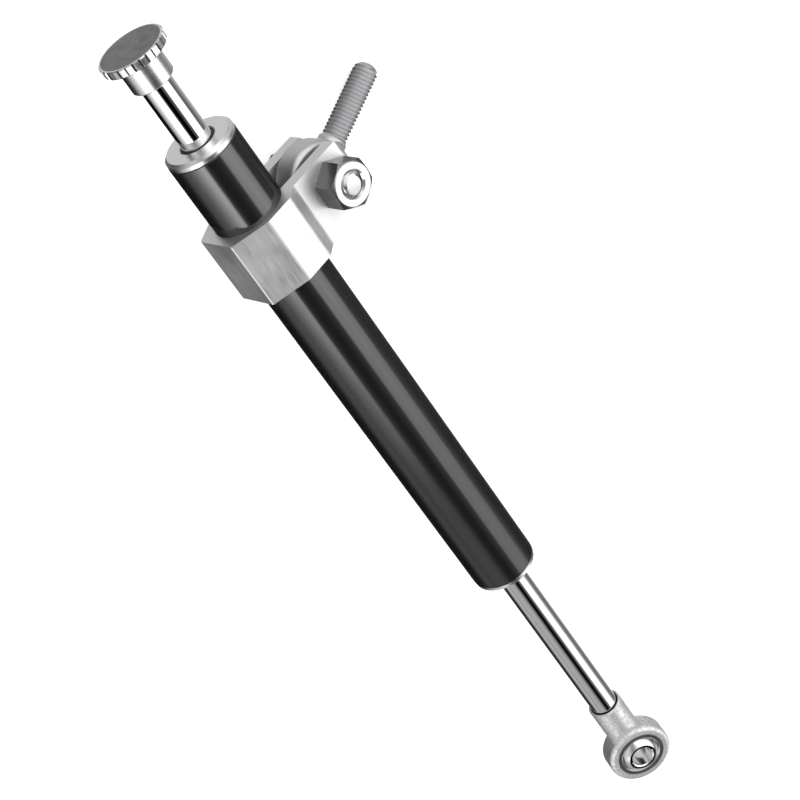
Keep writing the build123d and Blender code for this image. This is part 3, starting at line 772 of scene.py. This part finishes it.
class DAMPER_OT_bolt_and_nut(bpy.types.Operator):
    """Makes the clamp's bolt and nut, with chamfered hexagons and a threaded bolt end"""
    bl_idname = "damper.bolt_and_nut"
    bl_label = "Bolt and nut"

    thread_in_nut = 3.0 * MM
    bolt_gap = 0.04 * MM
    nut_smooth_angle = math.radians(12)
    bolt_smooth_angle = math.radians(20)

    def execute(self, context):
        settings = context.scene.damper_threads
        steel = bpy.data.materials["zinc_bolt"]
        nut_top = stations("clamp_nut", STUD_PIVOT, BOLT_AXIS)[1]
        head_end, bolt_end = stations("clamp_bolt", STUD_PIVOT, BOLT_AXIS)
        hexagon_r = max(BOLT_AXIS.cross(vert.co - STUD_PIVOT).length
                        for vert in NODES["clamp_nut"].data.vertices)
        ring_r = hexagon_r * math.cos(math.pi / 6) - settings.hexagon_ring
        nut = node_copy("clamp_nut")
        chamfer_ring(nut, STUD_PIVOT, BOLT_AXIS, nut_top, 1, ring_r)
        piece = mesh_object("chamfered_nut", nut, steel, self.nut_smooth_angle)
        finish_piece(piece, "clamp_nut", "clamp")
        bolt = with_thread("clamp_bolt", STUD_PIVOT, BOLT_AXIS, nut_top - self.thread_in_nut,
                           bolt_end, THREAD_R - self.bolt_gap, settings, settings.bolt_end_round)
        chamfer_ring(bolt, STUD_PIVOT, BOLT_AXIS, head_end, -1, ring_r)
        piece = mesh_object("threaded_bolt", bolt, steel, self.bolt_smooth_angle)
        finish_piece(piece, "clamp_bolt", "clamp")
        return {"FINISHED"}


class DAMPER_OT_detent_coil(bpy.types.Operator):
    """Winds the small spring that pushes the detent ball"""
    bl_idname = "damper.detent_coil"
    bl_label = "Detent spring"

    wire_r = 0.11 * MM
    wire_sides = 8
    wall_gap = 0.01 * MM
    steps_a_turn = 20
    smooth_angle = math.radians(60)

    def execute(self, context):
        settings = context.scene.damper_threads
        middle = (SPRING_LOW + SPRING_HIGH) / 2
        length = SPRING_HIGH.x - SPRING_LOW.x
        wire_r = self.wire_r
        coil_r = (SPRING_HIGH.y - SPRING_LOW.y) / 2 - wire_r - self.wall_gap
        steps = self.steps_a_turn * settings.spring_turns
        bm = bmesh.new()
        ring = bmesh.ops.create_circle(bm, segments=self.wire_sides, radius=wire_r)["verts"]
        bmesh.ops.transform(
            bm, verts=ring,
            matrix=Matrix.Translation((wire_r, 0, coil_r)) @ Matrix.Rotation(math.pi / 2, 4, "X"))
        rise = (length - 2 * wire_r) / steps
        edges = list({edge for vert in ring for edge in vert.link_edges})
        ends = bmesh.ops.spin(
            bm, geom=ring + edges, cent=(0, 0, 0), axis=(1, 0, 0), dvec=(rise, 0, 0),
            angle=2 * math.pi * settings.spring_turns, steps=steps, use_merge=False)
        bmesh.ops.holes_fill(bm, edges=edges, sides=0)
        last = [e for e in ends["geom_last"] if isinstance(e, bmesh.types.BMEdge)]
        bmesh.ops.holes_fill(bm, edges=last, sides=0)
        bmesh.ops.translate(bm, verts=bm.verts, vec=(SPRING_LOW.x, middle.y, middle.z))
        piece = mesh_object("detent_coil", bm, bpy.data.materials["spring_steel"],
                            self.smooth_angle)
        finish_piece(piece, "detent_spring", "knob")
        return {"FINISHED"}


class DAMPER_OT_studio(bpy.types.Operator):
    """Sets the camera, the soft boxes of the world, the shadow lamp and the floor"""
    bl_idname = "damper.studio"
    bl_label = "Studio"

    # Light of the studio round the damper's axis, as (degrees from straight up towards -Y,
    # level): as the tube's top, its foot and its end faces see it
    near = ((-180, 0.09), (-162, 0.045), (-144, 0.006), (-130, 0), (-117, 0), (-108, 0.08),
            (-98, 0.35), (-90, 0.5), (-72, 0.85), (-54, 1.9), (-36, 3.5), (-29, 3.3),
            (-24, 0.25), (-14, 0), (5, 0), (20, 0.1), (26, 0.16), (31, 1.7), (54, 2.1),
            (75, 1.65), (81, 0.2), (88, 0.12), (108, 0.18), (126, 0.36), (144, 0.48), (162, 0.6),
            (180, 0.7))
    far = ((-180, 0.3), (-162, 0.2), (-144, 0.06), (-130, 0.01), (-117, 0.03), (-108, 0.11),
           (-90, 0.5), (-72, 0.33), (-54, 0.42), (-36, 0.37), (-27, 0.3), (-18, 0.12), (-8, 0),
           (5, 0), (18, 0.13), (25, 0.25), (30, 1.1), (54, 1.25), (74, 1.1), (82, 0.4),
           (92, 0.25), (108, 0.1), (126, 0.24), (144, 0.55), (162, 0.74), (180, 0.8))
    ends = ((-180, 0.66), (-162, 0.5), (-144, 0.15), (-126, 0.05), (-108, 0.15), (-90, 0.5),
            (-72, 0.7), (-54, 0.6), (-36, 0.3), (-18, 0.3), (0, 0.7), (18, 1.2), (36, 1.5),
            (54, 1.5), (72, 1.1), (90, 0.6), (108, 0.5), (126, 0.5), (144, 0.6), (162, 0.64),
            (180, 0.66))
    brightest = 3.6
    # Spans of the direction's X over which far turns to near, and near turns to ends
    foot_span = (-0.60, -0.43)
    facing_span = (-0.15, 0.15)

    sensor_width = 36.0
    nearest_seen = 0.01
    floor_half = 3.0
    floor_drop = 0.4 * MM
    floor_glow = 0.6
    lamp_width = 0.7
    lamp_place = Vector((0.30, -0.25, 0.95))
    lamp_aim = Vector((0.18, 0, 0))

    def execute(self, context):
        settings = context.scene.damper_studio
        self.add_camera(context, settings)
        self.add_world(context)
        self.add_floor(context, settings)
        self.add_lamp(context, settings)
        context.scene.view_settings.view_transform = "Standard"
        return {"FINISHED"}

    def add_camera(self, context, settings):
        right = Vector(settings.camera_right).normalized()
        up = Vector(settings.camera_up)
        up = (up - right * up.dot(right)).normalized()
        back = right.cross(up)
        camera = bpy.data.cameras.new("camera")
        camera.lens = settings.lens
        camera.sensor_width = self.sensor_width
        camera.clip_start = self.nearest_seen
        eye = bpy.data.objects.new("camera", camera)
        context.scene.collection.objects.link(eye)
        turn = Matrix((right, up, back)).transposed().to_4x4()
        eye.matrix_world = Matrix.Translation(settings.camera_place) @ turn
        context.scene.camera = eye

    def add_world(self, context):
        world = bpy.data.worlds.new("studio")
        world.use_nodes = True
        world.node_tree.nodes.clear()
        nodes = Nodes(world.node_tree)
        where = nodes.add("ShaderNodeTexCoord").outputs["Generated"]
        split = nodes.add("ShaderNodeSeparateXYZ", {"Vector": where}).outputs
        turn = nodes.maths("ARCTAN2", nodes.maths("MULTIPLY", split["Y"], -1.0), split["Z"])
        place = nodes.spread(turn, -math.pi, math.pi, 0.0, 1.0)
        levels = []
        for row in (self.near, self.far, self.ends):
            stops = [((angle + 180) / 360, level / self.brightest) for angle, level in row]
            levels.append(nodes.ramp(place, stops))
        near, far, ends = levels
        foot = nodes.spread(split["X"], *self.foot_span, 1.0, 0.0)
        facing = nodes.spread(split["X"], *self.facing_span, 0.0, 1.0)
        level = nodes.mix(facing, nodes.mix(foot, near, far), ends)
        soft_boxes = nodes.add("ShaderNodeBackground",
                               {"Color": level, "Strength": self.brightest})
        white = nodes.add("ShaderNodeBackground", {"Color": (1, 1, 1, 1), "Strength": 1.0})
        seen = nodes.add("ShaderNodeLightPath").outputs["Is Camera Ray"]
        both = nodes.add("ShaderNodeMixShader", {
            0: seen, 1: soft_boxes.outputs[0], 2: white.outputs[0]})
        nodes.add("ShaderNodeOutputWorld", {"Surface": both.outputs[0]})
        context.scene.world = world

    def add_floor(self, context, settings):
        low = min(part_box(node)[0].z for node in NODES)
        bm = bmesh.new()
        bmesh.ops.create_grid(bm, x_segments=1, y_segments=1, size=self.floor_half)
        bmesh.ops.translate(bm, verts=bm.verts, vec=(0, 0, low - self.floor_drop))
        material = bpy.data.materials.new("studio_floor")
        material.use_nodes = True
        material.node_tree.nodes.clear()
        nodes = Nodes(material.node_tree)
        where = nodes.add("ShaderNodeTexCoord").outputs["Object"]
        mottle = nodes.add("ShaderNodeTexNoise", {"Vector": where, "Scale": 8.0}).outputs[0]
        colour = tinted(nodes, mottle, tuple(settings.floor_colour), 0.99, 1.01)
        paper = nodes.add("ShaderNodeBsdfDiffuse", {"Color": colour})
        glow = nodes.add("ShaderNodeEmission", {
            "Color": (1, 1, 1, 1), "Strength": self.floor_glow})
        seen = nodes.add("ShaderNodeLightPath").outputs["Is Camera Ray"]
        none = nodes.add("ShaderNodeEmission", {"Strength": 0.0})
        lift = nodes.add("ShaderNodeMixShader", {0: seen, 1: none.outputs[0], 2: glow.outputs[0]})
        front = nodes.add("ShaderNodeAddShader", {0: paper.outputs[0], 1: lift.outputs[0]})
        clear = nodes.add("ShaderNodeBsdfTransparent")
        behind = nodes.add("ShaderNodeNewGeometry").outputs["Backfacing"]
        both = nodes.add("ShaderNodeMixShader", {
            0: behind, 1: front.outputs[0], 2: clear.outputs[0]})
        nodes.add("ShaderNodeOutputMaterial", {"Surface": both.outputs[0]})
        floor = mesh_object("floor", bm, material)
        floor.visible_glossy = False

    def add_lamp(self, context, settings):
        lamp = bpy.data.lights.new("soft_box", "AREA")
        lamp.shape = "SQUARE"
        lamp.size = self.lamp_width
        lamp.energy = settings.lamp_power
        box = bpy.data.objects.new("soft_box", lamp)
        context.scene.collection.objects.link(box)
        aim = self.lamp_aim - self.lamp_place
        turn = aim.to_track_quat("-Z", "Y").to_matrix().to_4x4()
        box.matrix_world = Matrix.Translation(self.lamp_place) @ turn
        box.visible_glossy = False


OPERATORS = (
    DAMPER_OT_studio, DAMPER_OT_metal_nodes, DAMPER_OT_threaded_stud,
    DAMPER_OT_bolt_and_nut, DAMPER_OT_detent_coil,
)


class DAMPER_PT_panel(bpy.types.Panel):
    bl_idname = "DAMPER_PT_panel"
    bl_label = "Steering damper"
    bl_space_type = "VIEW_3D"
    bl_region_type = "UI"
    bl_category = "Damper"

    def draw(self, context):
        scene = context.scene
        for group in (scene.damper_studio, scene.damper_finish, scene.damper_threads):
            for name in group.bl_rna.properties.keys():
                if name not in ("rna_type", "name"):
                    self.layout.prop(group, name)
        for operator in OPERATORS:
            self.layout.operator(operator.bl_idname)


SETTINGS = {
    "damper_studio": StudioSettings,
    "damper_finish": FinishSettings,
    "damper_threads": ThreadSettings,
}


def register():
    for name, kind in SETTINGS.items():
        bpy.utils.register_class(kind)
        setattr(bpy.types.Scene, name, bpy.props.PointerProperty(type=kind))
    for kind in OPERATORS + (DAMPER_PT_panel,):
        bpy.utils.register_class(kind)


def unregister():
    for kind in reversed(OPERATORS + (DAMPER_PT_panel,)):
        bpy.utils.unregister_class(kind)
    for name, kind in SETTINGS.items():
        delattr(bpy.types.Scene, name)
        bpy.utils.unregister_class(kind)


def main():
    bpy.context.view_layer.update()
    register()
    bpy.ops.damper.studio()
    bpy.ops.damper.metal_nodes()
    bpy.ops.damper.threaded_stud()
    bpy.ops.damper.bolt_and_nut()
    bpy.ops.damper.detent_coil()


if __name__ == "__main__":
    main()
